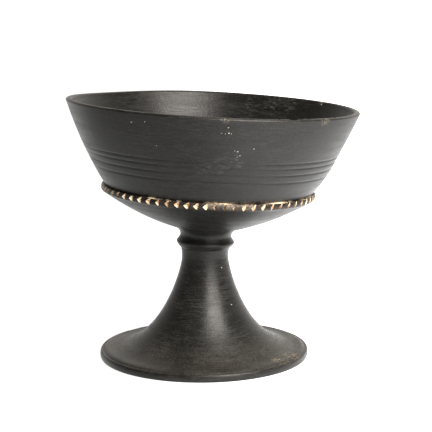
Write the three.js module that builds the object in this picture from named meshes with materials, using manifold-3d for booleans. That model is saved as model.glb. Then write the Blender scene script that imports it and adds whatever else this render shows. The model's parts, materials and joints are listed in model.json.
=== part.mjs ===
// A bucchero chalice: a wheel-thrown drinking cup of black fired clay, made as one piece.
// A flaring bowl with a notched ridge at its shoulder stands on a hollow trumpet foot.
// The frame is in millimetres, with +Z up. The cup stands on Z = 0 with the origin under the
// middle of its whole width, and its front, with the chip in the rim at the right, faces -Y.

import * as THREE from "three";
import { mergeVertices } from "three/addons/utils/BufferGeometryUtils.js";
import Module from "manifold-3d";

// Foot: a disc with a rounded edge, a groove inside the edge, and a trumpet-shaped flare.
const FOOT_RADIUS = 54.4;
const FOOT_EDGE_HEIGHT = 4.0;
const FOOT_EDGE_BULGE = 0.8; // how far the edge rounds outwards
const STANDING_RING_WIDTH = 2.8; // flat ring that the cup stands on
const BORDER_WIDTH = 3.9; // between the edge and the start of the flare
const BORDER_RISE = 0.9; // height of the flare's start above the edge
const BORDER_GROOVE_WIDTH = 1.6;
const BORDER_GROOVE_DEPTH = 0.4;
const FLARE_SPREAD = 27.0; // how far the flare stays low on its way in
const FLARE_UPRIGHT = 6.2; // how far it stays upright below the narrowest place
const FOOT_WALL = 4.2; // clay around the hollow of the foot
const HOLLOW_SHARE = 0.75; // share of the flare that the hollow follows before its dome

// Stem, collar and neck.
const STEM_RADIUS = 12.0; // at the narrowest place
const STEM_HEIGHT = 52.6; // height of the narrowest place
const COLLAR_RISE = 7.7; // from the narrowest place up to the collar's crest
const COLLAR_OVERHANG = 3.1; // how far the crest stands out from the stem
const COLLAR_HALF_HEIGHT = 3.1;
const COLLAR_CREST = 0.5; // rounding of the crest
const NECK_RADIUS = 13.2;
const NECK_HEIGHT = 8.0; // from the collar's crest to the underside of the bowl
const NECK_SPREAD = 4.5; // how far the neck widens into the bowl
const NECK_BEND = 1.5; // how far below the underside that widening turns

// Bowl, from its underside over the ridge and up the wall to the lip.
const UNDERSIDE_RISE = 17.3;
const UNDERSIDE_BULGE = 1.5;
const RIDGE_RADIUS = 55.1;
const RIDGE_HEIGHT = 3.2;
const RIDGE_NOSE = 0.9; // rounding of the ridge
const RIDGE_STEP = 1.8; // how far the ridge stands out from the wall above it
const WALL_RISE = 42.2;
const WALL_BULGE = 1.3;
const RIM_RADIUS = 75.0;
const LIP_THICKNESS = 3.3;
const LIP_RISE = 1.0; // rounded top of the lip
const WALL_THICKNESS = 4.8; // at the foot of the wall
const FLOOR_THICKNESS = 5.4; // at the middle, above the level where the neck widens
const CORNER_RISE = 7.0; // height of the inner corner above the ridge
const CORNER_LENGTH = 10.0; // how far the inner wall runs on below that corner
const FLOOR_FLAT_RADIUS = 29.0; // radius of the nearly flat middle of the floor

// Lines incised round the wall, at heights above the ridge.
const LINE_HEIGHTS = [11.1, 15.1, 18.6, 21.2];
const LINE_WIDTH = 1.0;
const LINE_DEPTH = 0.3;

// Notches cut in the ridge by hand, so that their spacing, width and slant change along the row.
const NOTCH_COUNT = 69;
const NOTCH_WIDTH = 2.2; // mean width
const NOTCH_WIDTH_CHANGE = 0.6; // less than that on the right of the cup, and more on the left
const NOTCH_HEIGHT = 5.2;
const NOTCH_DEPTH = 2.2;
const NOTCH_CLEARANCE = 1.2; // how far the cut starts outside the ridge
const NOTCH_START = -91.9; // angle of one notch, in degrees
const NOTCH_DRIFT = 1.25; // how far they stray from even spacing, in degrees
const NOTCH_DRIFT_WAVES = 4;
const NOTCH_SLANT = 13; // mean slant to the right, in degrees
const NOTCH_SLANT_CHANGE = 16; // more than that on the right of the cup, and less on the left

// The cup isn't true: its stem slants, and the bowl leans further to +X.
const STEM_SLANT = 1.07; // degrees
const BOWL_LEAN = 3.35; // degrees
const LEAN_SPAN = 16.0; // height over which the lean grows, about the foot of the collar

// Places where the thrown bowl is uneven: an angle in degrees, a height above the ridge, how
// far it reaches either way, and how far the clay lies down or out there.
const RIM_DIP = { angle: 142, spread: 32, height: WALL_RISE, reach: 30, down: 1.3, out: 0 };
const RIM_FLAT = { angle: 180, spread: 34, height: WALL_RISE, reach: 22, down: 0, out: -0.45 };
const WALL_SWELL = { angle: 0, spread: 50, height: 10, reach: 9, down: 0, out: 1.1 };

// Old chips in the edges of the rim and the foot.
const RIM_CHIP = { angle: -58.5, width: 8.5, depth: 1.0, reach: 1.9 };
const FOOT_CHIP = { angle: 136, width: 9.0, depth: 1.3, reach: 2.2 };

const RADIAL_STEPS = 56;
const CLAY_COLOR = 0x2b2a28;
const DEGREE = Math.PI / 180;
const QUARTER_TURN = Math.PI / 2;

// Levels that follow from the sizes above.
const collarZ = STEM_HEIGHT + COLLAR_RISE;
const collarFootZ = collarZ - COLLAR_HALF_HEIGHT;
const undersideZ = collarZ + NECK_HEIGHT;
const ridgeFootZ = undersideZ + UNDERSIDE_RISE;
const ridgeTopZ = ridgeFootZ + RIDGE_HEIGHT;
const rimZ = ridgeTopZ + WALL_RISE;

const at = (r, z) => new THREE.Vector2(r, z);

// Points of a curve after its first one, which the profile already has.
const along = (curve, steps) => curve.getPoints(steps).slice(1);

// A line that bulges to the right of its direction, as a thrown wall does.
class BulgedLine extends THREE.Curve {
  constructor(from, to, bulge) {
    super();
    this.from = from;
    this.to = to;
    this.bulge = bulge;
    const way = to.clone().sub(from).normalize();
    this.side = at(way.y, -way.x);
  }
  getPoint(t) {
    const out = 4 * this.bulge * t * (1 - t);
    return this.from.clone().lerp(this.to, t).addScaledVector(this.side, out);
  }
}

// An arc of an ellipse about a centre, from one angle to another.
function arc(center, radiusR, radiusZ, from, to) {
  return new THREE.EllipseCurve(center.x, center.y, radiusR, radiusZ, from, to, to < from);
}

// The flare of the foot, from its border up to the narrowest place of the stem.
function flare() {
  const start = at(
    FOOT_RADIUS - FOOT_EDGE_BULGE - BORDER_WIDTH,
    FOOT_EDGE_HEIGHT + BORDER_RISE,
  );
  return new THREE.CubicBezierCurve(
    start,
    at(start.x - FLARE_SPREAD, start.y + BORDER_GROOVE_DEPTH),
    at(STEM_RADIUS, STEM_HEIGHT - FLARE_UPRIGHT),
    at(STEM_RADIUS, STEM_HEIGHT),
  );
}

// The hollow under the foot, from its top on the axis to the standing ring.
// Its side follows the flare at the thickness of the clay, and closes in a dome.
function hollow() {
  const outside = flare();
  const steps = 6;
  const side = [];
  for (let i = steps; i >= 0; i--) {
    const t = (HOLLOW_SHARE * i) / steps;
    const way = outside.getTangent(t);
    const inwards = at(-way.y, way.x);
    side.push(outside.getPoint(t).addScaledVector(inwards, FOOT_WALL));
  }
  const radius = side[0].x;
  const dome = arc(at(0, side[0].y), radius, radius, QUARTER_TURN, 0);
  return [...dome.getPoints(3), ...side.slice(1)];
}

function footOutside() {
  const edge = at(FOOT_RADIUS - FOOT_EDGE_BULGE, FOOT_EDGE_HEIGHT / 2);
  const rounding = arc(edge, FOOT_EDGE_BULGE, edge.y, -QUARTER_TURN, QUARTER_TURN);
  const start = flare().getPoint(0);
  return [
    at(edge.x - STANDING_RING_WIDTH, 0),
    at(edge.x, 0),
    ...along(rounding, 4),
    at(edge.x - BORDER_GROOVE_WIDTH / 2, FOOT_EDGE_HEIGHT - BORDER_GROOVE_DEPTH),
    at(edge.x - BORDER_GROOVE_WIDTH, FOOT_EDGE_HEIGHT + BORDER_RISE / 2),
    start,
    ...along(flare(), 9),
  ];
}

function collarAndNeck() {
  const crestR = STEM_RADIUS + COLLAR_OVERHANG;
  const roundR = crestR - COLLAR_CREST / 2;
  const neckFoot = at(NECK_RADIUS, collarZ + COLLAR_HALF_HEIGHT);
  const stemTop = new THREE.QuadraticBezierCurve(
    at(STEM_RADIUS, STEM_HEIGHT),
    at(STEM_RADIUS, (STEM_HEIGHT + collarFootZ) / 2),
    at((STEM_RADIUS + NECK_RADIUS) / 2, collarFootZ),
  );
  const spread = new THREE.QuadraticBezierCurve(
    neckFoot,
    at(NECK_RADIUS, undersideZ - NECK_BEND),
    at(NECK_RADIUS + NECK_SPREAD, undersideZ),
  );
  return [
    ...along(stemTop, 2),
    at(roundR, collarZ - COLLAR_CREST),
    at(crestR, collarZ),
    at(roundR, collarZ + COLLAR_CREST),
    neckFoot,
    ...along(spread, 3),
  ];
}

function undersideAndRidge() {
  const nose = at(RIDGE_RADIUS - RIDGE_NOSE, ridgeFootZ + RIDGE_HEIGHT / 2);
  const underside = new BulgedLine(
    at(NECK_RADIUS + NECK_SPREAD, undersideZ),
    at(nose.x, ridgeFootZ),
    UNDERSIDE_BULGE,
  );
  const rounding = arc(nose, RIDGE_NOSE, RIDGE_HEIGHT / 2, -QUARTER_TURN, QUARTER_TURN);
  return [...along(underside, 5), ...along(rounding, 3)];
}

function wallOutside() {
  return new BulgedLine(
    at(RIDGE_RADIUS - RIDGE_STEP, ridgeTopZ),
    at(RIM_RADIUS, rimZ),
    WALL_BULGE,
  );
}

// The outer wall up to the lip, with each incised line as a shallow V across it.
function outerWall() {
  const wall = wallOutside();
  const points = [wall.getPoint(0)];
  for (const height of LINE_HEIGHTS) {
    const low = wall.getPoint((height - LINE_WIDTH / 2) / WALL_RISE);
    const middle = wall.getPoint(height / WALL_RISE).addScaledVector(wall.side, -LINE_DEPTH);
    const high = wall.getPoint((height + LINE_WIDTH / 2) / WALL_RISE);
    points.push(low, middle, high);
  }
  const lastLine = Math.max(...LINE_HEIGHTS) / WALL_RISE;
  const plainSteps = 3;
  for (let i = 1; i <= plainSteps; i++) {
    points.push(wall.getPoint(THREE.MathUtils.lerp(lastLine, 1, i / plainSteps)));
  }
  return points;
}

// The rounded lip, then the inner wall and the floor down to the axis.
function inside() {
  const outer = wallOutside();
  const lip = arc(at(RIM_RADIUS - LIP_THICKNESS / 2, rimZ), LIP_THICKNESS / 2, LIP_RISE, 0, Math.PI);
  const lipFoot = at(RIM_RADIUS - LIP_THICKNESS, rimZ);
  const corner = outer
    .getPoint(CORNER_RISE / WALL_RISE)
    .addScaledVector(outer.side, -WALL_THICKNESS);
  const wall = new BulgedLine(lipFoot, corner, -WALL_BULGE / 2);
  const down = corner.clone().sub(lipFoot).normalize();
  const floorZ = undersideZ + FLOOR_THICKNESS;
  const floor = new THREE.CubicBezierCurve(
    corner,
    corner.clone().addScaledVector(down, CORNER_LENGTH),
    at(FLOOR_FLAT_RADIUS, floorZ),
    at(0, floorZ),
  );
  return [...along(lip, 4), ...along(wall, 3), ...along(floor, 6)];
}

function profile() {
  return [
    ...hollow(),
    ...footOutside(),
    ...collarAndNeck(),
    ...undersideAndRidge(),
    ...outerWall(),
    ...inside(),
  ];
}

// How much of an uneven place is felt at an angle and a height: 1 in its middle, 0 far away.
function nearness(place, angle, z) {
  const away = THREE.MathUtils.euclideanModulo(angle - place.angle + 180, 360) - 180;
  const above = z - ridgeTopZ - place.height;
  return Math.exp(-((away / place.spread) ** 2) - (above / place.reach) ** 2);
}

// Gives a true, upright shape the form of the real cup: an uneven bowl that leans on its stem.
function bend(geometry) {
  const position = geometry.getAttribute("position");
  const slant = Math.tan(STEM_SLANT * DEGREE);
  for (let i = 0; i < position.count; i++) {
    const angle = Math.atan2(position.getY(i), position.getX(i));
    const level = position.getZ(i);
    let radius = Math.hypot(position.getX(i), position.getY(i));
    let z = level;
    const bowlShare = Math.min(1, radius / RIDGE_RADIUS);
    for (const place of [RIM_DIP, RIM_FLAT, WALL_SWELL]) {
      const share = bowlShare * nearness(place, angle / DEGREE, level);
      radius += place.out * share;
      z -= place.down * share;
    }
    const x = radius * Math.cos(angle);
    const rise = z - collarFootZ;
    const grown = THREE.MathUtils.smoothstep(rise / LEAN_SPAN, -0.5, 0.5);
    const lean = BOWL_LEAN * DEGREE * grown;
    position.setXYZ(
      i,
      x * Math.cos(lean) + rise * Math.sin(lean) + slant * Math.min(z, collarFootZ),
      radius * Math.sin(angle),
      collarFootZ - x * Math.sin(lean) + rise * Math.cos(lean),
    );
  }
  return geometry;
}

const wasm = await Module();
wasm.setup();

function solidOf(geometry) {
  const bare = geometry.clone();
  bare.deleteAttribute("normal");
  bare.deleteAttribute("uv");
  const merged = mergeVertices(bare);
  return new wasm.Manifold(
    new wasm.Mesh({
      numProp: 3,
      vertProperties: new Float32Array(merged.getAttribute("position").array),
      triVerts: new Uint32Array(merged.index.array),
    }),
  );
}

function geometryOf(solid) {
  const mesh = solid.getMesh();
  const geometry = new THREE.BufferGeometry();
  geometry.setAttribute("position", new THREE.BufferAttribute(mesh.vertProperties, 3));
  geometry.setIndex(new THREE.BufferAttribute(mesh.triVerts, 1));
  geometry.computeVertexNormals();
  return geometry;
}

// One notch, as the print of a three-sided point with one corner to the left. A cone with
// three sides and radius 1 is 1.5 across there and the root of 3 high.
function notch(index) {
  const even = NOTCH_START + (360 * index) / NOTCH_COUNT;
  const angle = (even - NOTCH_DRIFT * Math.sin(NOTCH_DRIFT_WAVES * even * DEGREE)) * DEGREE;
  const slant = (NOTCH_SLANT + NOTCH_SLANT_CHANGE * Math.cos(angle)) * DEGREE;
  const width = NOTCH_WIDTH - NOTCH_WIDTH_CHANGE * Math.cos(angle);
  const length = NOTCH_DEPTH + NOTCH_CLEARANCE;
  const point = new THREE.ConeGeometry(length / NOTCH_DEPTH, length, 3);
  point.rotateY(-QUARTER_TURN);
  point.translate(0.25, length / 2 - NOTCH_CLEARANCE - RIDGE_RADIUS, 0);
  point.scale(width / 1.5, 1, NOTCH_HEIGHT / Math.sqrt(3));
  point.applyMatrix4(new THREE.Matrix4().makeShear(0, 0, 0, 0, Math.tan(slant), 0));
  point.rotateZ(angle + QUARTER_TURN);
  point.translate(0, 0, ridgeFootZ + RIDGE_HEIGHT / 2);
  return bend(point);
}

// A shallow flake lost from an edge, as a flattened ball around a point of that edge.
function flake(chip, radius, z) {
  const ball = new THREE.IcosahedronGeometry(1, 1);
  ball.scale(chip.reach, chip.width / 2, chip.depth);
  ball.translate(radius, 0, z);
  ball.rotateZ(chip.angle * DEGREE);
  return bend(ball);
}

function chalice() {
  const turned = new THREE.LatheGeometry(profile(), RADIAL_STEPS).rotateX(QUARTER_TURN);
  const cuts = [
    flake(RIM_CHIP, RIM_RADIUS - LIP_THICKNESS / 2, rimZ + LIP_RISE),
    flake(FOOT_CHIP, FOOT_RADIUS, FOOT_EDGE_HEIGHT),
  ];
  for (let i = 0; i < NOTCH_COUNT; i++) {
    cuts.push(notch(i));
  }
  let clay = solidOf(bend(turned));
  for (const cut of cuts) {
    clay = clay.subtract(solidOf(cut));
  }
  const mesh = new THREE.Mesh(
    geometryOf(clay),
    new THREE.MeshStandardMaterial({ color: CLAY_COLOR, roughness: 0.45, metalness: 0 }),
  );
  mesh.name = "chalice";
  return mesh;
}

const object = new THREE.Group();
object.add(chalice());
const middle = new THREE.Box3().setFromObject(object).getCenter(new THREE.Vector3());
object.position.set(-middle.x, -middle.y, 0);

export default object;
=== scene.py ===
# %% [markdown]
# A bucchero chalice on a white studio ground.
#
# Bucchero is Etruscan fired clay that is black all the way through, thrown on a wheel, burnished
# while leather-hard and fired without air. This one is a drinking cup: a flaring bowl with
# incised lines and a notched ridge, on a collared stem and a hollow trumpet foot. It is one
# piece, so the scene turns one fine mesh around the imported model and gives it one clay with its
# wear and dirt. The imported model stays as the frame: it says how big everything is and where.

# %% Load the frame
import json
import math

import bmesh
import bpy
from mathutils import Matrix, Vector, geometry, noise


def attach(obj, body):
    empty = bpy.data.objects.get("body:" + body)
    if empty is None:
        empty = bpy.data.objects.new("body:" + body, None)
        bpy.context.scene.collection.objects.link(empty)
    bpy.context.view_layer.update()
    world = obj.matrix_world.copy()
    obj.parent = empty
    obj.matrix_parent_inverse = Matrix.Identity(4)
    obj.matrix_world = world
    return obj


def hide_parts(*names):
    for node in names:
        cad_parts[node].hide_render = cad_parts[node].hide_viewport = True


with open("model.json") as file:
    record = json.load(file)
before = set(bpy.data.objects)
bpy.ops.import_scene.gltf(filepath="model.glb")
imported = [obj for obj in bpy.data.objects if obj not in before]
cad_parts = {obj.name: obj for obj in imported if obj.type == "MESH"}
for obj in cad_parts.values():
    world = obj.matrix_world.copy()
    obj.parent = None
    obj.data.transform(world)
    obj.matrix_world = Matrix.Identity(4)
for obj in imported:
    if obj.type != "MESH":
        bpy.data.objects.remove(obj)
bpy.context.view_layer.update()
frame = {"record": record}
MM = 0.001
foot_x = frame["record"]["mounts"][0]["pos_m"][0]

# %% [markdown]
# The photograph was taken with a long lens from a little above the rim, which is why the far
# wall shows inside the bowl. The camera was solved from the cup's outline. It stands this far
# in front of the foot, this far up, and looks down by nearly ten degrees.

# %% Camera
CAMERA_DISTANCE = 0.7011
CAMERA_HEIGHT = 0.1950
LOOK_DOWN = 0.1718
LOOK_RIGHT = 0.0096
ROLL = 0.0062
FOCAL_LENGTH = 114.67


def add_camera():
    sight = Vector((
        math.sin(LOOK_RIGHT) * math.cos(LOOK_DOWN),
        math.cos(LOOK_RIGHT) * math.cos(LOOK_DOWN),
        -math.sin(LOOK_DOWN),
    ))
    level_right = Vector((math.cos(LOOK_RIGHT), -math.sin(LOOK_RIGHT), 0))
    level_up = level_right.cross(sight)
    right = level_right * math.cos(ROLL) - level_up * math.sin(ROLL)
    up = level_right * math.sin(ROLL) + level_up * math.cos(ROLL)
    turned = Matrix((right, up, -sight)).transposed().to_4x4()
    place = Matrix.Translation((foot_x, -CAMERA_DISTANCE, CAMERA_HEIGHT))
    data = bpy.data.cameras.new("camera")
    data.lens = FOCAL_LENGTH
    data.sensor_width = 36
    camera = bpy.data.objects.new("camera", data)
    camera.matrix_world = place @ turned
    bpy.context.scene.collection.objects.link(camera)
    bpy.context.scene.camera = camera


add_camera()
print("camera at", [round(v, 3) for v in bpy.context.scene.camera.matrix_world.translation])

# %% [markdown]
# A thrown pot is its profile, turned once about an axis. The profile could be drawn point by
# point, but a potter thinks in stretches: edge, flare, collar, belly, ridge, wall, lip. So each
# stretch is a short curve with the same sizes as the solid, in millimetres, as (radius, height).
# Only the incised lines are shallower than in the solid, because so they look in the photograph.

# %% Sizes of the profile
FOOT_RADIUS = 54.4
FOOT_EDGE_HEIGHT = 4.0
FOOT_EDGE_BULGE = 0.8
STANDING_RING_WIDTH = 2.8
BORDER_WIDTH = 3.9
BORDER_RISE = 0.9
BORDER_GROOVE_WIDTH = 1.6
BORDER_GROOVE_DEPTH = 0.4
FLARE_SPREAD = 27.0
FLARE_UPRIGHT = 6.2
FOOT_WALL = 4.2
HOLLOW_SHARE = 0.75
STEM_RADIUS = 12.0
STEM_HEIGHT = 52.6
COLLAR_RISE = 7.7
COLLAR_OVERHANG = 3.1
COLLAR_HALF_HEIGHT = 3.1
COLLAR_CREST = 0.5
COLLAR_FACE_BULGE = 0.15
NECK_RADIUS = 13.2
NECK_HEIGHT = 8.0
NECK_SPREAD = 4.5
NECK_BEND = 1.5
UNDERSIDE_RISE = 17.3
UNDERSIDE_BULGE = 1.5
RIDGE_RADIUS = 55.1
RIDGE_HEIGHT = 3.2
RIDGE_NOSE = 0.9
RIDGE_STEP = 1.8
WALL_RISE = 42.2
WALL_BULGE = 1.3
RIM_RADIUS = 75.0
LIP_THICKNESS = 3.3
LIP_RISE = 1.0
WALL_THICKNESS = 4.8
FLOOR_THICKNESS = 5.4
CORNER_RISE = 7.0
CORNER_LENGTH = 10.0
FLOOR_FLAT_RADIUS = 29.0
LINE_HEIGHTS = (11.1, 15.1, 18.6, 21.2)
LINE_WIDTH = 1.0
LINE_DEPTH = 0.2

COLLAR_Z = STEM_HEIGHT + COLLAR_RISE
COLLAR_FOOT_Z = COLLAR_Z - COLLAR_HALF_HEIGHT
UNDERSIDE_Z = COLLAR_Z + NECK_HEIGHT
RIDGE_FOOT_Z = UNDERSIDE_Z + UNDERSIDE_RISE
RIDGE_TOP_Z = RIDGE_FOOT_Z + RIDGE_HEIGHT
RIM_Z = RIDGE_TOP_Z + WALL_RISE


# %% Curves of the profile
def at(r, z):
    return Vector((r, z))


def bezier(a, b, c, d, count):
    """Points of a cubic curve after its first."""
    flat = [Vector((p.x, p.y, 0)) for p in (a, b, c, d)]
    return [p.to_2d() for p in geometry.interpolate_bezier(*flat, count + 1)[1:]]


def bent(a, b, c, count):
    """Points of a curve that leaves a and reaches c, drawn towards b."""
    return bezier(a, a.lerp(b, 2 / 3), c.lerp(b, 2 / 3), c, count)


def arc(center, radius_r, radius_z, start, end, count):
    """Points of an arc after its first. Angles are in degrees, 0 is outwards and 90 is up."""
    points = []
    for i in range(1, count + 1):
        angle = math.radians(start + (end - start) * i / count)
        points.append(center + at(radius_r * math.cos(angle), radius_z * math.sin(angle)))
    return points


def bulged(a, b, bulge, count, start=0.0, end=1.0):
    """Points of a line that bulges to the right of its way, from share start to share end."""
    side = Vector(((b - a).y, -(b - a).x)).normalized()
    points = []
    for i in range(1, count + 1):
        t = start + (end - start) * i / count
        points.append(a.lerp(b, t) + side * 4 * bulge * t * (1 - t))
    return points


# %% Profile of the foot and the stem
def hollow_of_foot(flare):
    """From the top of the hollow on the axis down to its mouth, at the thickness of the clay."""
    kept = flare[: int(len(flare) * HOLLOW_SHARE)]
    side = []
    for here, after in zip(kept, kept[1:]):
        way = (after - here).normalized()
        side.insert(0, here + Vector((-way.y, way.x)) * FOOT_WALL)
    dome = arc(at(0, side[0].y), side[0].x, side[0].x, 90, 0, 12)
    return [at(0, side[0].y + side[0].x), *dome[:-1], *side]


def foot_and_stem():
    edge = at(FOOT_RADIUS - FOOT_EDGE_BULGE, FOOT_EDGE_HEIGHT / 2)
    start = at(edge.x - BORDER_WIDTH, FOOT_EDGE_HEIGHT + BORDER_RISE)
    flare = [start] + bezier(
        start,
        at(start.x - FLARE_SPREAD, start.y + BORDER_GROOVE_DEPTH),
        at(STEM_RADIUS, STEM_HEIGHT - FLARE_UPRIGHT),
        at(STEM_RADIUS, STEM_HEIGHT),
        56,
    )
    outer = at(edge.x - BORDER_GROOVE_WIDTH * 0.2, FOOT_EDGE_HEIGHT)
    bottom = at(edge.x - BORDER_GROOVE_WIDTH / 2, FOOT_EDGE_HEIGHT - BORDER_GROOVE_DEPTH)
    inner = at(edge.x - BORDER_GROOVE_WIDTH, FOOT_EDGE_HEIGHT + BORDER_RISE / 2)
    return [
        *hollow_of_foot(flare),
        *bulged(at(edge.x - STANDING_RING_WIDTH, 0), at(edge.x, 0), 0, 3, 0.0, 0.9),
        at(edge.x, 0.08),
        *arc(edge, FOOT_EDGE_BULGE, edge.y, -80, 90, 10),
        *bent(outer, bottom, inner, 5),
        *bent(inner, start.lerp(inner, 0.5) + at(0, 0.25), start, 4),
        *flare[1:],
    ]


def collar_and_neck():
    crest = at(STEM_RADIUS + COLLAR_OVERHANG, COLLAR_Z)
    collar_foot = at((STEM_RADIUS + NECK_RADIUS) / 2, COLLAR_FOOT_Z)
    neck_foot = at(NECK_RADIUS, COLLAR_Z + COLLAR_HALF_HEIGHT)
    stem_top = at(STEM_RADIUS, STEM_HEIGHT)
    stem_bend = at(STEM_RADIUS, (STEM_HEIGHT + COLLAR_FOOT_Z) / 2)
    neck_bend = at(NECK_RADIUS, UNDERSIDE_Z - NECK_BEND)
    neck_top = at(NECK_RADIUS + NECK_SPREAD, UNDERSIDE_Z)
    below = crest - at(COLLAR_CREST / 2, COLLAR_CREST)
    above = crest - at(COLLAR_CREST / 2, -COLLAR_CREST)
    return [
        *bent(stem_top, stem_bend, collar_foot, 5),
        *bulged(collar_foot, below, COLLAR_FACE_BULGE, 5),
        *bent(below, crest, above, 4),
        *bulged(above, neck_foot, -COLLAR_FACE_BULGE, 5),
        *bent(neck_foot, neck_bend, neck_top, 8),
    ]


# %% Profile of the bowl
def wall_ends():
    return at(RIDGE_RADIUS - RIDGE_STEP, RIDGE_TOP_Z), at(RIM_RADIUS, RIM_Z)


def bowl_outside():
    neck_top = at(NECK_RADIUS + NECK_SPREAD, UNDERSIDE_Z)
    nose = at(RIDGE_RADIUS - RIDGE_NOSE, RIDGE_FOOT_Z + RIDGE_HEIGHT / 2)
    foot, rim = wall_ends()
    side = Vector(((rim - foot).y, -(rim - foot).x)).normalized()
    points = [
        *bulged(neck_top, at(nose.x, RIDGE_FOOT_Z), UNDERSIDE_BULGE, 30),
        *arc(nose, RIDGE_NOSE, RIDGE_HEIGHT / 2, -90, 90, 12),
        *bulged(at(nose.x, RIDGE_TOP_Z), foot, 0.08, 3),
    ]
    reached = 0.0
    for height in LINE_HEIGHTS:
        low = (height - LINE_WIDTH / 2) / WALL_RISE
        high = (height + LINE_WIDTH / 2) / WALL_RISE
        plain = max(2, round((low - reached) * WALL_RISE / 0.8))
        points += bulged(foot, rim, WALL_BULGE, plain, reached, low)
        for i, point in enumerate(bulged(foot, rim, WALL_BULGE, 6, low, high)):
            depth = LINE_DEPTH * math.sin(math.pi * (i + 1) / 6)
            points.append(point - side * depth)
        reached = high
    return points + bulged(foot, rim, WALL_BULGE, 30, reached, 1.0)


def bowl_inside():
    foot, rim = wall_ends()
    side = Vector(((rim - foot).y, -(rim - foot).x)).normalized()
    outside = bulged(foot, rim, WALL_BULGE, 1, 0.0, CORNER_RISE / WALL_RISE)[0]
    corner = outside - side * WALL_THICKNESS
    lip_foot = at(RIM_RADIUS - LIP_THICKNESS, RIM_Z)
    down = (corner - lip_foot).normalized()
    floor_z = UNDERSIDE_Z + FLOOR_THICKNESS
    floor_edge = at(FLOOR_FLAT_RADIUS, floor_z)
    return [
        *arc(at(RIM_RADIUS - LIP_THICKNESS / 2, RIM_Z), LIP_THICKNESS / 2, LIP_RISE, 0, 180, 12),
        *bulged(lip_foot, corner, -WALL_BULGE / 2, 30),
        *bezier(corner, corner + down * CORNER_LENGTH, floor_edge, at(0, floor_z), 34),
    ]


profile = [*foot_and_stem(), *collar_and_neck(), *bowl_outside(), *bowl_inside()]
print("profile points", len(profile), "height in mm", round(max(p.y for p in profile), 2))

# %% [markdown]
# Spinning the profile gives the cup as it stood on the wheel. A spin joins its last step to its
# first, and the points on the axis fall together, so doubles are merged before the faces are
# turned outwards.

# %% Spin the cup
STEPS_ROUND = 240


def spun_cup(points):
    cup = bmesh.new()
    verts = [cup.verts.new((p.x, 0, p.y)) for p in points]
    edges = [cup.edges.new(pair) for pair in zip(verts, verts[1:])]
    bmesh.ops.spin(
        cup, geom=verts + edges, cent=(0, 0, 0), axis=(0, 0, 1),
        angle=2 * math.pi, steps=STEPS_ROUND, use_merge=True,
    )
    bmesh.ops.remove_doubles(cup, verts=cup.verts, dist=0.002)
    bmesh.ops.recalc_face_normals(cup, faces=cup.faces)
    return cup


cup = spun_cup(profile)
print("spun", len(cup.verts), "points and", len(cup.faces), "faces")

# %% [markdown]
# The real cup isn't true. Its stem slants, the bowl leans on it, the rim dips at the back left
# and the wall swells on the right. Every point is moved by the same rule as in the solid, so
# cutters and marks that are placed on the true cup can be bent along with it. The point's place
# on the wheel is kept as an attribute, because wheel marks and dirt follow the throwing.

# %% Bend it as the real one is bent
STEM_SLANT = 1.07
BOWL_LEAN = 3.35
LEAN_SPAN = 16.0
RIM_DIP = {"angle": 142, "spread": 32, "height": WALL_RISE, "reach": 30, "down": 1.3, "out": 0}
RIM_FLAT = {"angle": 180, "spread": 34, "height": WALL_RISE, "reach": 22, "down": 0, "out": -0.45}
WALL_SWELL = {"angle": 0, "spread": 50, "height": 10, "reach": 9, "down": 0, "out": 1.1}


def nearness(place, angle, z):
    away = (math.degrees(angle) - place["angle"] + 180) % 360 - 180
    above = z - RIDGE_TOP_Z - place["height"]
    return math.exp(-((away / place["spread"]) ** 2) - (above / place["reach"]) ** 2)


def bend(point):
    """The place on the real cup, in mm, of a point of the true cup."""
    angle = math.atan2(point.y, point.x)
    radius = math.hypot(point.x, point.y)
    z = point.z
    bowl_share = min(1, radius / RIDGE_RADIUS)
    for place in (RIM_DIP, RIM_FLAT, WALL_SWELL):
        share = bowl_share * nearness(place, angle, point.z)
        radius += place["out"] * share
        z -= place["down"] * share
    x = radius * math.cos(angle)
    rise = z - COLLAR_FOOT_Z
    grown = min(1, max(0, rise / LEAN_SPAN + 0.5))
    lean = math.radians(BOWL_LEAN) * grown * grown * (3 - 2 * grown)
    slant = math.tan(math.radians(STEM_SLANT)) * min(z, COLLAR_FOOT_Z)
    return Vector((
        x * math.cos(lean) + rise * math.sin(lean) + slant,
        radius * math.sin(angle),
        COLLAR_FOOT_Z - x * math.sin(lean) + rise * math.cos(lean),
    ))


# %% [markdown]
# The notches were cut into the ridge with the corner of a tool while the clay was leather-hard.
# Each is a small triangle with its tip inside the ridge. Here one three-sided cone per notch is
# cut away by a Boolean, whose own material then marks the inside of every notch.

# %% Notch cutters
NOTCH_COUNT = 69
NOTCH_WIDTH = 2.2
NOTCH_WIDTH_CHANGE = 0.6
NOTCH_HEIGHT = 5.2
NOTCH_DEPTH = 2.2
NOTCH_CLEARANCE = 1.2
NOTCH_START = -91.9
NOTCH_DRIFT = 1.25
NOTCH_DRIFT_WAVES = 4
NOTCH_SLANT = 13
NOTCH_SLANT_CHANGE = 16


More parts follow.
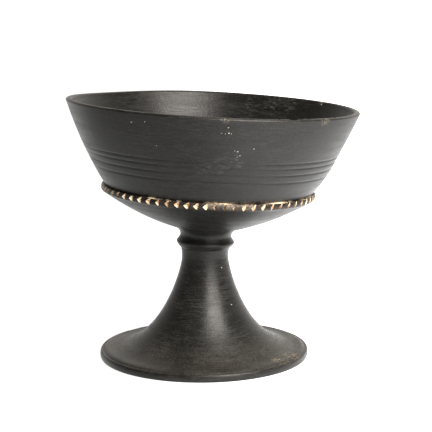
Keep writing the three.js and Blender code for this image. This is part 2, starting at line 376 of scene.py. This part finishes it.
def notch_cutters():
    """A point with three sides and radius 1 is 1.5 across and the root of 3 high."""
    cutters = bmesh.new()
    length = NOTCH_DEPTH + NOTCH_CLEARANCE
    point_inwards = Matrix.Rotation(math.radians(-90), 4, "X")
    corner_left = Matrix.Rotation(math.radians(90), 4, "Z")
    on_ridge = Matrix.Translation((0.25, length / 2 - NOTCH_CLEARANCE - RIDGE_RADIUS, 0))
    for index in range(NOTCH_COUNT):
        even = math.radians(NOTCH_START + 360 * index / NOTCH_COUNT)
        angle = even - math.radians(NOTCH_DRIFT) * math.sin(NOTCH_DRIFT_WAVES * even)
        by_hand = noise.noise_vector(Vector((index * 1.7, 0, 0)))
        width = (NOTCH_WIDTH - NOTCH_WIDTH_CHANGE * math.cos(angle)) * (1 + 0.3 * by_hand.x)
        height = NOTCH_HEIGHT * (1 + 0.15 * by_hand.y)
        slant = math.radians(NOTCH_SLANT + NOTCH_SLANT_CHANGE * math.cos(angle) + 8 * by_hand.z)
        made = bmesh.ops.create_cone(
            cutters, cap_ends=True, segments=3, depth=length,
            radius1=length / NOTCH_DEPTH, radius2=0,
        )["verts"]
        size = Matrix.Diagonal((width / 1.5, 1, height / math.sqrt(3), 1))
        leaning = Matrix.Identity(4)
        leaning[0][2] = math.tan(slant)
        place = (
            Matrix.Translation((0, 0, RIDGE_FOOT_Z + RIDGE_HEIGHT / 2))
            @ Matrix.Rotation(angle + math.radians(90), 4, "Z")
            @ leaning
            @ size
            @ on_ridge
            @ point_inwards
            @ corner_left
        )
        bmesh.ops.transform(cutters, matrix=place, verts=made)
    return cutters


# %% [markdown]
# Chips are where an edge was knocked. A flake is lost as a shallow shell, so the cutter is a
# flattened ball with a rough skin. The two chips that show are as big as in the solid; a few
# smaller nicks along the lip are added, since no old rim is whole.

# %% Chip cutters
RIM_CHIP = {"angle": -58.5, "width": 8.5, "depth": 1.0, "reach": 1.9}
FOOT_CHIP = {"angle": 136, "width": 9.0, "depth": 1.3, "reach": 2.2}
NICKS = [
    {"angle": -52.8, "width": 2.4, "depth": 0.5, "reach": 1.1},
    {"angle": -66.0, "width": 1.6, "depth": 0.4, "reach": 0.9},
    {"angle": -38.0, "width": 2.0, "depth": 0.4, "reach": 0.8},
    {"angle": 24.0, "width": 3.2, "depth": 0.5, "reach": 1.1},
    {"angle": 75.0, "width": 2.2, "depth": 0.4, "reach": 0.9},
    {"angle": -163.0, "width": 2.6, "depth": 0.4, "reach": 0.9},
]
SKIN_ROUGHNESS = 0.22


def add_flake(cutters, chip, radius, z):
    ball = bmesh.ops.create_icosphere(cutters, subdivisions=3, radius=1)["verts"]
    for vert in ball:
        vert.co *= 1 + SKIN_ROUGHNESS * noise.noise(vert.co * 2.2 + Vector((chip["angle"], 0, 0)))
    size = Matrix.Diagonal((chip["reach"], chip["width"] / 2, chip["depth"], 1))
    turn = Matrix.Rotation(math.radians(chip["angle"]), 4, "Z")
    place = turn @ Matrix.Translation((radius, 0, z)) @ size
    bmesh.ops.transform(cutters, matrix=place, verts=ball)


def chip_cutters():
    cutters = bmesh.new()
    add_flake(cutters, FOOT_CHIP, FOOT_RADIUS, FOOT_EDGE_HEIGHT)
    for chip in (RIM_CHIP, *NICKS):
        add_flake(cutters, chip, RIM_RADIUS - LIP_THICKNESS / 2, RIM_Z + LIP_RISE)
    return cutters


# %% [markdown]
# Materials come before the cutting, because a Boolean can hand each cutter's material to the
# faces that it leaves. One helper turns an sRGB hex colour into the linear values that Blender
# reckons with, and one adds a node. A finish is mostly one colour laid over another where several
# things hold at once, such as facing up, being low on the foot and lying between the grit. Each
# of them is a share from 0 to 1, and their product says how much of the colour is laid on.

# %% Helpers for materials
def linear(hex_color):
    parts = [int(hex_color[i : i + 2], 16) / 255 for i in (1, 3, 5)]
    return (*(p / 12.92 if p <= 0.04045 else ((p + 0.055) / 1.055) ** 2.4 for p in parts), 1)


def add(tree, kind, inputs, **settings):
    """Adds a node. An input is a value, or the socket or node that it is linked from."""
    node = tree.nodes.new(kind)
    for name, value in settings.items():
        setattr(node, name, value)
    for name, value in inputs.items():
        if isinstance(value, bpy.types.Node):
            value = next(socket for socket in value.outputs if socket.enabled)
        if isinstance(value, bpy.types.NodeSocket):
            tree.links.new(value, node.inputs[name])
        else:
            node.inputs[name].default_value = value
    return node


def product(tree, *shares):
    """Multiplies shares. A share is a number, a node, or (node, low, high, at_low, at_high): that
    goes smoothly from at_low, or 0, where the node is low to at_high, or 1, where it is high."""
    found = None
    for share in shares:
        if isinstance(share, tuple):
            sockets = ("Value", "From Min", "From Max", "To Min", "To Max")
            inputs = dict(zip(sockets, (*share, 0.0, 1.0)))
            share = add(tree, "ShaderNodeMapRange", inputs, interpolation_type="SMOOTHSTEP")
        if found is not None:
            share = add(tree, "ShaderNodeMath", {0: found, 1: share}, operation="MULTIPLY")
        found = share
    return found


def coated(tree, under, color, *shares):
    """Lays a colour over what is under it, as far as the product of the shares goes."""
    return add(
        tree, "ShaderNodeMix", {0: product(tree, *shares), 6: under, 7: linear(color)},
        data_type="RGBA",
    )


def new_material(name):
    material = bpy.data.materials.new(name)
    material.use_nodes = True
    tree = material.node_tree
    return material, tree, tree.nodes["Principled BSDF"]


def dress(tree, shader, color, relief, strength, depth):
    """Gives the shader its colour, and a relief that is depth millimetres high."""
    bump = add(
        tree, "ShaderNodeBump", {"Strength": strength, "Distance": depth * MM, "Height": relief},
    )
    tree.links.new(color.outputs[2], shader.inputs["Base Color"])
    tree.links.new(bump.outputs[0], shader.inputs["Normal"])


# %% [markdown]
# Everything on a thrown pot runs around it: wheel marks, burnishing strokes, dust that the
# fingers wiped. So the patterns read the place on the wheel, in millimetres. A stroke is long
# around the pot and thin across. That is made by a noise that changes slowly with x and y and
# fast with the height. The radius is its fourth dimension and changes fast too, so a stroke is
# thin where the clay lies flat as well as where it stands, and there is no seam anywhere.

# %% Coordinates and strokes
def wheel_coordinates(tree):
    place = add(tree, "ShaderNodeAttribute", {}, attribute_name="wheel_place")
    thrown = add(
        tree, "ShaderNodeVectorMath", {0: place.outputs["Vector"], "Scale": 1 / MM},
        operation="SCALE",
    )
    flat = add(tree, "ShaderNodeVectorMath", {0: thrown, 1: (1, 1, 0)}, operation="MULTIPLY")
    axes = add(tree, "ShaderNodeSeparateXYZ", {0: thrown})
    return {
        "thrown": thrown,
        "around": add(tree, "ShaderNodeVectorMath", {0: flat}, operation="NORMALIZE"),
        "radius": add(tree, "ShaderNodeVectorMath", {0: flat}, operation="LENGTH"),
        "height": axes.outputs["Z"],
    }


def strokes(tree, wheel, across, along, detail=2.0, distortion=0.0):
    """Streaks across millimetres thin and along millimetres long, wherever they lie."""
    size = (1 / along, 1 / along, 1 / across)
    vector = add(
        tree, "ShaderNodeVectorMath", {0: wheel["thrown"], 1: size}, operation="MULTIPLY",
    )
    outwards = product(tree, wheel["radius"], 1 / across)
    return add(
        tree, "ShaderNodeTexNoise",
        {"Vector": vector, "W": outwards, "Scale": 1.0, "Detail": detail, "Distortion": distortion},
        noise_dimensions="4D",
    )


def patches(tree, wheel, size, detail=3.0):
    """Cloudy patches about size millimetres wide."""
    return add(
        tree, "ShaderNodeTexNoise",
        {"Vector": wheel["thrown"], "Scale": 1 / size, "Detail": detail},
    )


def near_level(tree, wheel, level, reach):
    """The share that is 1 at a level of the wheel and 0 beyond reach millimetres from it."""
    off = add(tree, "ShaderNodeMath", {0: wheel["height"], 1: level}, operation="SUBTRACT")
    off = add(tree, "ShaderNodeMath", {0: off}, operation="ABSOLUTE")
    return (off, 0.3 * reach, reach, 1.0, 0.0)


# %% [markdown]
# Time left single marks on the cup: pale specks, scraped places, scuffs on the lip, and lime
# that settled on the foot, the ridge and the joint above it. Each is (angle, radius, height,
# size) in degrees and millimetres on the true cup, where 0 degrees is to the right and -90 is to
# the front. Those in front stand where the photograph shows them, and those behind are guessed.

# %% Places of the marks
def wall_radius(z):
    foot, rim = wall_ends()
    share = (z - foot.y) / (rim.y - foot.y)
    return foot.x + (rim.x - foot.x) * share + 4 * WALL_BULGE * share * (1 - share)


def on_wall(marks):
    """Marks that are (angle, height, size), with the radius that the wall has there."""
    return [(angle, wall_radius(z), z, size) for angle, z, size in marks]


SPECKS = on_wall([
    (-121.4, 126.7, 0.42), (-115.6, 127.6, 0.34), (-112.2, 116.5, 0.3), (-84.7, 127.6, 0.36),
    (-84.3, 124.9, 0.45), (-85.6, 124.6, 0.26), (-87.0, 124.8, 0.24), (-83.4, 124.7, 0.28),
    (-80.1, 116.1, 0.38), (-81.3, 116.4, 0.3), (-78.9, 114.1, 0.36), (-79.9, 113.4, 0.26),
    (-73.8, 117.6, 0.36), (62.0, 119.0, 0.4), (141.0, 110.0, 0.4), (170.0, 118.0, 0.35),
]) + [(34.2, 71.5, 130.6, 0.6), (-48.4, 12.7, 48.1, 0.4), (-44.4, 19.2, 29.5, 0.4)]
WALL_SCRAPES = on_wall([(-93, 107, 6), (-86, 108.5, 6), (-79.5, 110, 5), (-80.5, 115, 2.5)])
INNER_SCRAPES = [(71, 69.5, 126.5, 7), (60, 69.5, 127, 8), (52, 70, 128, 6), (-150, 66, 118, 9)]
LIP_SCUFFS = [(-86.0, 75, 132, 3.2), (-45.0, 75, 131.5, 4.0), (35.0, 73, 132, 3.0)]
FOOT_DEPOSIT = [(-27, 49, 5, 7), (-39, 49, 5, 6), (120, 49, 5, 9)]
RIDGE_DEPOSIT = [
    (-88, 55, 91, 6), (-79, 55, 91, 6), (-70, 55, 91, 6), (-60, 55, 92, 5), (60, 55, 91, 9),
]
JOINT_DEPOSIT = [
    (-121, 54, 92, 7), (-110, 54, 92, 7), (-85, 54, 92, 9), (-50, 54, 92, 12), (-22, 54, 92, 12),
    (80, 54, 92, 22), (150, 54, 92, 20),
]


def near_places(tree, wheel, places):
    """1 within the sizes of the places that are given as (angle, radius, height, size)."""
    found = 0.0
    for angle, radius, z, size in places:
        turn = math.radians(angle)
        away = add(
            tree, "ShaderNodeVectorMath",
            {0: wheel["thrown"], 1: (radius * math.cos(turn), radius * math.sin(turn), z)},
            operation="DISTANCE",
        )
        near = product(tree, (away, 0.4 * size, size, 1.0, 0.0))
        found = add(tree, "ShaderNodeMath", {0: found, 1: near}, operation="MAXIMUM")
    return found


print("specks", len(SPECKS), "and scraped places", len(WALL_SCRAPES + INNER_SCRAPES))

# %% [markdown]
# The clay is burnished bucchero: fine, black all through, rubbed with a pebble until it had a
# satin gloss, and dulled by time. To the eye it is a black with a soft grey sheen, in streaks
# that follow the rubbing. So its gloss is stretched across the strokes, and it is rougher where
# the burnish has worn. A dense clay has an index of refraction of about 1.5, and it was lowered
# here until the gloss was as weak as in the photograph. The lines in a real burnish are only
# tenths of a millimetre wide. The render can't show that, so here they are as wide as they need
# to be to show, and so is the grit.

# %% Patterns and layers of the clay
CLAY_IOR = 1.36
CLAY_ROUGHNESS = (0.33, 0.45)
WORN_ROUGHNESS = 0.12
GLOSS_STRETCH = 0.45
GLOSS_TURN = 0.25
WALL_STROKES = 0.8
RELIEF = {"fine": 0.5, "dents": 0.3, "grit": 0.2}
RELIEF_DEPTH = 0.16


def clay_patterns(tree, wheel):
    """The patterns that the layers share. Their sizes are in millimetres."""
    return {
        "fine": strokes(tree, wheel, 0.65, 5, detail=3.0),
        "broad": strokes(tree, wheel, 3.5, 35, detail=3.0, distortion=0.3),
        "cloud": patches(tree, wheel, 16),
        "dents": patches(tree, wheel, 2.6),
        "grit": patches(tree, wheel, 0.9, detail=2.0),
    }


def bare_clay(tree, wheel, seen, worn):
    clay = coated(tree, linear("#10100e"), "#1a1a18", (seen["broad"], 0.3, 0.75))
    clay = coated(tree, clay, "#55534e", (seen["grit"], 0.5, 0.75, 0.0, 0.12))
    clay = coated(tree, clay, "#484743", worn, 0.22)
    scraped = near_places(tree, wheel, WALL_SCRAPES + INNER_SCRAPES)
    scratches = strokes(tree, wheel, 0.7, 2.2)
    return coated(tree, clay, "#6b6b67", scraped, (scratches, 0.5, 0.66), 0.2)


def dusty_foot(tree, wheel, seen, up, clay):
    clay = coated(
        tree, clay, "#5d5a54", (wheel["height"], 5.0, 20.0, 1.0, 0.0), (up, 0.5, 0.95),
        (seen["grit"], 0.3, 0.65, 0.3, 1.0), (seen["cloud"], 0.35, 0.6, 0.45, 1.0), 0.3,
    )
    lime = near_places(tree, wheel, FOOT_DEPOSIT)
    return coated(tree, clay, "#9c8a70", lime, (seen["grit"], 0.5, 0.62), 0.45)


def dirty_ridge(tree, wheel, seen, clay):
    outside = product(tree, (wheel["radius"], RIDGE_RADIUS - 2.6, RIDGE_RADIUS - 1.6))
    level = near_level(tree, wheel, RIDGE_FOOT_Z + RIDGE_HEIGHT / 2, 3.4)
    on_ridge = product(tree, level, outside)
    clay = coated(tree, clay, "#3a2c20", on_ridge, (seen["dents"], 0.42, 0.62), 0.6)
    lime = near_places(tree, wheel, RIDGE_DEPOSIT)
    clay = coated(
        tree, clay, "#a09078", on_ridge, lime, (seen["grit"], 0.42, 0.6, 0.15, 1.0), 0.5,
    )
    joint = near_level(tree, wheel, RIDGE_TOP_Z + 0.1, 0.42)
    lime = near_places(tree, wheel, JOINT_DEPOSIT)
    smears = strokes(tree, wheel, 3.0, 3)
    return coated(tree, clay, "#e6d6bd", joint, outside, lime, (smears, 0.4, 0.6))


def worn_lip_and_painted_highlight(tree, wheel, seen, clay):
    # The light grey laid thinly in streaks along the top of the lip is partly wear and partly a
    # painted highlight along the lip's crest; the scuffs below are real wear.
    top = (wheel["height"], RIM_Z + 0.35, RIM_Z + 0.85)
    clay = coated(tree, clay, "#8a867e", top, (strokes(tree, wheel, 1.2, 7), 0.36, 0.62), 0.08)
    scuffs = near_places(tree, wheel, LIP_SCUFFS)
    return coated(tree, clay, "#8f8674", scuffs, (seen["grit"], 0.4, 0.6), 0.3)


# %% Burnished bucchero
def burnished_bucchero():
    material, tree, shader = new_material("burnished_bucchero")
    wheel = wheel_coordinates(tree)
    seen = clay_patterns(tree, wheel)
    normal = add(tree, "ShaderNodeNewGeometry", {}).outputs["Normal"]
    up = add(tree, "ShaderNodeSeparateXYZ", {0: normal}).outputs["Z"]
    outward = add(
        tree, "ShaderNodeVectorMath", {0: normal, 1: wheel["around"]}, operation="DOT_PRODUCT",
    )
    above_ridge = (wheel["height"], RIDGE_TOP_Z - 1, RIDGE_TOP_Z + 2)
    on_wall_outside = product(tree, above_ridge, (outward, -0.2, 0.2))
    strength = product(tree, (on_wall_outside, 0.0, 1.0, 1.0, WALL_STROKES))
    worn = product(
        tree, (seen["fine"], 0.42, 0.68), (seen["cloud"], 0.35, 0.62, 0.25, 1.0), strength,
    )

    clay = bare_clay(tree, wheel, seen, worn)
    clay = dusty_foot(tree, wheel, seen, up, clay)
    clay = dirty_ridge(tree, wheel, seen, clay)
    clay = worn_lip_and_painted_highlight(tree, wheel, seen, clay)
    clay = coated(tree, clay, "#d3c8b2", near_places(tree, wheel, SPECKS), 0.65)

    relief = 0.0
    for pattern, share in RELIEF.items():
        relief = add(
            tree, "ShaderNodeMath", {0: seen[pattern], 1: share, 2: relief},
            operation="MULTIPLY_ADD",
        )
    dress(tree, shader, clay, relief, strength, RELIEF_DEPTH)
    rough = product(tree, (seen["broad"], 0.25, 0.8, *CLAY_ROUGHNESS))
    rough = add(
        tree, "ShaderNodeMath", {0: worn, 1: WORN_ROUGHNESS, 2: rough}, operation="MULTIPLY_ADD",
    )
    tree.links.new(rough.outputs[0], shader.inputs["Roughness"])
    along = add(
        tree, "ShaderNodeVectorMath", {0: (0, 0, 1), 1: wheel["around"]},
        operation="CROSS_PRODUCT",
    )
    tree.links.new(along.outputs[0], shader.inputs["Tangent"])
    shader.inputs["Anisotropic"].default_value = GLOSS_STRETCH
    shader.inputs["Anisotropic Rotation"].default_value = GLOSS_TURN
    shader.inputs["IOR"].default_value = CLAY_IOR
    return material


# %% [markdown]
# Two more finishes sit in the cuts. The notches hold what the ground left in them, a cream,
# chalky deposit without any gloss. The chips show the broken clay: as black as the skin, but
# rough, because it was never rubbed.

# %% Burial deposit and broken clay
def burial_deposit():
    material, tree, shader = new_material("burial_deposit")
    wheel = wheel_coordinates(tree)
    cloud = patches(tree, wheel, 4.0)
    grain = patches(tree, wheel, 0.5, detail=4.0)
    color = coated(tree, linear("#c8a685"), "#f3e6cf", (cloud, 0.35, 0.65))
    color = coated(tree, color, "#7c5c3f", (grain, 0.55, 0.75))
    color = coated(tree, color, "#5c4836", (patches(tree, wheel, 11), 0.38, 0.5, 1.0, 0.0))
    dress(tree, shader, color, grain, 0.8, 0.15)
    shader.inputs["Roughness"].default_value = 0.9
    shader.inputs["IOR"].default_value = 1.5
    return material


def broken_clay():
    material, tree, shader = new_material("broken_clay")
    grain = patches(tree, wheel_coordinates(tree), 0.7, detail=4.0)
    color = coated(tree, linear("#1d1b1a"), "#4a4540", (grain, 0.4, 0.7))
    dress(tree, shader, color, grain, 0.9, 0.2)
    shader.inputs["Roughness"].default_value = 0.75
    shader.inputs["IOR"].default_value = 1.5
    return material


# %% Cut the notches and the chips
def as_object(name, mesh, material):
    """Makes an object of a bmesh of the true cup: bent, in metres and in the frame."""
    for vert in mesh.verts:
        vert.co = bend(vert.co) * MM + Vector((foot_x, 0, 0))
    data = bpy.data.meshes.new(name)
    mesh.to_mesh(data)
    mesh.free()
    data.materials.append(material)
    made = bpy.data.objects.new(name, data)
    bpy.context.scene.collection.objects.link(made)
    return made


def cut_away(piece, cutter):
    cut = piece.modifiers.new(cutter.name, "BOOLEAN")
    cut.operation = "DIFFERENCE"
    cut.solver = "EXACT"
    cut.material_mode = "TRANSFER"
    cut.object = cutter
    finished = bpy.data.meshes.new_from_object(
        piece.evaluated_get(bpy.context.evaluated_depsgraph_get())
    )
    piece.modifiers.clear()
    piece.data = finished
    bpy.data.objects.remove(cutter)


chalice = as_object("fired_chalice", cup, burnished_bucchero())
cut_away(chalice, as_object("notches", notch_cutters(), burial_deposit()))
cut_away(chalice, as_object("chips", chip_cutters(), broken_clay()))
print("cut", len(chalice.data.vertices), "points,", [m.name for m in chalice.data.materials])


# %% [markdown]
# The materials need each point's place on the wheel. The bend can't be turned round by a
# formula, but it is slight, so a few guesses that are each corrected by what they miss come very
# close to the place. The cell prints how far the worst one is off.

# %% Places on the wheel, and shading
def unbend(place):
    guess = place.copy()
    for _ in range(5):
        guess += place - bend(guess)
    return guess


places = chalice.data.attributes.new("wheel_place", "FLOAT_VECTOR", "POINT")
worst = 0.0
for item, vert in zip(places.data, chalice.data.vertices):
    real = (vert.co - Vector((foot_x, 0, 0))) / MM
    thrown = unbend(real)
    worst = max(worst, (bend(thrown) - real).length)
    item.vector = thrown * MM
print("the worst place on the wheel is off by", round(worst, 5), "mm")
chalice.data.shade_smooth()
chalice.data.set_sharp_from_angle(angle=math.radians(32))
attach(chalice, "root")
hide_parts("chalice")

# %% [markdown]
# The photograph has a plain white ground without a horizon. A white sheet that glows from below,
# as photographers use for small finds, keeps the ground pale right up to the foot. The glow is
# uneven, since the black cup mirrors it: strongest at the right, where the photograph's cup is
# bright, and weaker far out to the right, to the front and at the front left. It goes by the
# place on the ground alone, so it is the same in every view.

# %% Ground
GROUND_HALF = 30
GROUND_GAP = 0.0001
# Shares of the glow, as (from, to, share at from, share at to), in metres along x or y.
GLOW_IN_FROM_LEFT = (-0.32, -0.145, 0.5, 1.0)
GLOW_BACKWARDS = (0.0, 0.25, 0.0, 1.0)
GLOW_AT_RIGHT = (-0.06, 0.09, 0.95, 2.5)
GLOW_OUT_TO_RIGHT = (0.15, 0.35, 1.0, 0.45)
GLOW_FROM_FRONT = (-0.4, -0.12, 0.65, 1.0)


def uneven_glow(tree):
    place = add(tree, "ShaderNodeTexCoord", {}).outputs["Object"]
    axes = add(tree, "ShaderNodeSeparateXYZ", {0: place})
    x, y = axes.outputs["X"], axes.outputs["Y"]
    left = product(tree, (x, *GLOW_IN_FROM_LEFT))
    back = product(tree, (y, *GLOW_BACKWARDS))
    glow = add(tree, "ShaderNodeMath", {0: left, 1: back}, operation="MAXIMUM")
    return product(
        tree, glow, (x, *GLOW_AT_RIGHT), (x, *GLOW_OUT_TO_RIGHT), (y, *GLOW_FROM_FRONT),
    )


def white_ground():
    sheet = bmesh.new()
    bmesh.ops.create_grid(sheet, x_segments=1, y_segments=1, size=GROUND_HALF)
    data = bpy.data.meshes.new("ground")
    sheet.to_mesh(data)
    sheet.free()
    ground = bpy.data.objects.new("ground", data)
    ground.location.z = -GROUND_GAP
    bpy.context.scene.collection.objects.link(ground)
    material, tree, shader = new_material("lit_white_acrylic")
    shader.inputs["Base Color"].default_value = linear("#585858")
    shader.inputs["Roughness"].default_value = 0.6
    shader.inputs["Emission Color"].default_value = (1, 1, 1, 1)
    tree.links.new(uneven_glow(tree).outputs[0], shader.inputs["Emission Strength"])
    data.materials.append(material)


white_ground()
print("ground", 2 * GROUND_HALF, "metres wide")

# %% [markdown]
# A black pot shows what surrounds it more than its own colour, so the room matters. It is white
# behind the cup and at the right, weaker overhead and at the left, and nearly dark behind the
# camera. One large softbox stands high at the right of the camera and gives the bowl and the
# stem their long soft light.

# %% Room and lights
# Shares of the room's light, as (from, to, share at from, share at to), by direction.
ROOM_TO_BACK = (-0.25, 0.8, 0.16, 1.05)
ROOM_TO_TOP = (0.3, 0.65, 1.0, 0.38)
ROOM_TO_RIGHT = (-0.6, 0.5, 0.58, 1.12)
SOFTBOX_AIM = (0, 0, 0.07)


def room():
    world = bpy.data.worlds.new("studio")
    world.use_nodes = True
    tree = world.node_tree
    back = tree.nodes["Background"]
    back.inputs["Color"].default_value = linear("#fffaf3")
    way = add(tree, "ShaderNodeTexCoord", {})
    axes = add(tree, "ShaderNodeSeparateXYZ", {0: way.outputs["Generated"]}).outputs
    strength = product(
        tree, (axes["Y"], *ROOM_TO_BACK), (axes["Z"], *ROOM_TO_TOP), (axes["X"], *ROOM_TO_RIGHT),
    )
    tree.links.new(strength.outputs[0], back.inputs["Strength"])
    bpy.context.scene.world = world


def softbox(name, place, size, power):
    light = bpy.data.lights.new(name, "AREA")
    light.shape = "RECTANGLE"
    light.size, light.size_y = size
    light.energy = power
    light.color = linear("#fff8f1")[:3]
    lamp = bpy.data.objects.new(name, light)
    lamp.location = place
    aim = Vector(SOFTBOX_AIM) - lamp.location
    lamp.rotation_euler = aim.to_track_quat("-Z", "Y").to_euler()
    bpy.context.scene.collection.objects.link(lamp)


room()
softbox("key_right_of_camera", (0.37, -0.6, 0.62), (0.6, 0.5), 21)
bpy.context.scene.view_settings.view_transform = "Standard"
print("lights", [light.name for light in bpy.data.lights])
